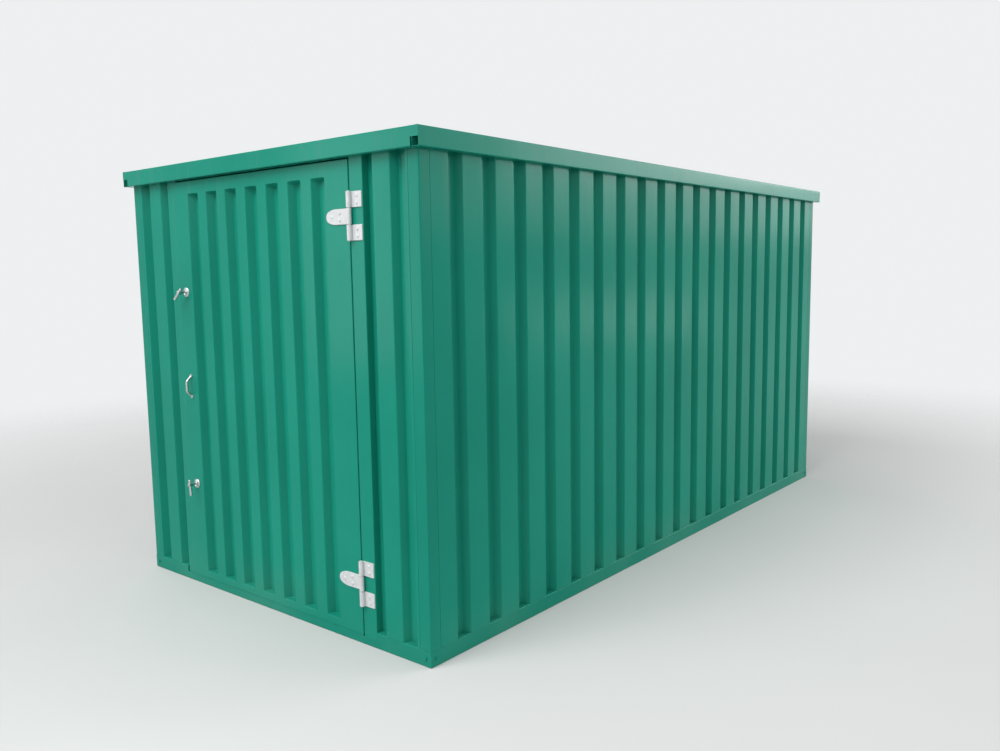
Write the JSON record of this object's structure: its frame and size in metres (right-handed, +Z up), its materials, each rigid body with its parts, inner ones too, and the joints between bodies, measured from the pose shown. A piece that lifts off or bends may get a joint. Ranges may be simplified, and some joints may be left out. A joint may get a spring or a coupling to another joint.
{
  "type": "flat pack storage container",
  "caption": "Bolted flat pack steel storage hut with corrugated walls, gutter eaves, a plywood floor and a fluted hinged door.",
  "frame": {"origin": "middle of the footprint on the ground", "axes": "+Z up, +Y from the door wall to the rear wall, +X to the right seen from the door side"},
  "size_m": [2.171, 4.2255, 2.143],
  "materials": {
    "green_sheet": "semi-gloss powder coat",
    "green_roof": "semi-gloss powder coat",
    "green_frame": "semi-gloss powder coat",
    "galvanised": "hot dip galvanised",
    "bright_steel": "bright zinc plated",
    "plywood": "phenolic faced plywood"
  },
  "bodies": {
    "building": {"base_front_rail": "green_frame", "base_rear_rail": "green_frame", "base_left_rail": "green_frame", "base_right_rail": "green_frame", "corner_post_front_right": "green_frame", "corner_post_rear_right": "green_frame", "corner_post_rear_left": "green_frame", "corner_post_front_left": "green_frame", "door_post_hinge": "green_sheet", "door_post_lock": "green_sheet", "door_header": "green_sheet", "right_wall_panel_1": "green_sheet", "right_wall_panel_2": "green_sheet", "right_wall_panel_3": "green_sheet", "right_wall_panel_4": "green_sheet", "left_wall_panel_1": "green_sheet", "left_wall_panel_2": "green_sheet", "left_wall_panel_3": "green_sheet", "left_wall_panel_4": "green_sheet", "rear_wall_panel_1": "green_sheet", "rear_wall_panel_2": "green_sheet", "front_wall_panel_left": "green_sheet", "front_wall_panel_right": "green_sheet", "eave_gutter_left": "green_roof", "eave_gutter_right": "green_roof", "roof_fascia_front": "green_roof", "roof_fascia_rear": "green_roof", "roof_panel_1": "green_roof", "roof_panel_2": "green_roof", "roof_panel_3": "green_roof", "roof_panel_4": "green_roof", "floor_joists": "galvanised", "floor_panel": "plywood", "roof_purlins": "galvanised", "lower_hinge_post_leaf": "galvanised", "upper_hinge_post_leaf": "galvanised"},
    "door": {"door_skin": "green_sheet", "door_frame": "green_frame", "lower_hinge_strap": "galvanised", "upper_hinge_strap": "galvanised", "pull_handle": "bright_steel", "lower_lock": "bright_steel", "upper_lock": "bright_steel"},
    "lower_handle": {"lower_lock_handle": "bright_steel"},
    "upper_handle": {"upper_lock_handle": "bright_steel"}
  },
  "joints": [
    {"name": "door_hinge", "type": "hinge", "parent": "building", "child": "door", "pos_m": [0.66, -2.0825, 1], "axis": [0, 0, 1], "range_deg": [0, 170]},
    {"name": "lower_handle_turn", "type": "hinge", "parent": "door", "child": "lower_handle", "pos_m": [-0.596, -2.112, 0.534], "axis": [0, -1, 0], "range_deg": [-5, 85]},
    {"name": "upper_handle_turn", "type": "hinge", "parent": "door", "child": "upper_handle", "pos_m": [-0.596, -2.112, 1.515], "axis": [0, -1, 0], "range_deg": [-40, 50]}
  ]
}
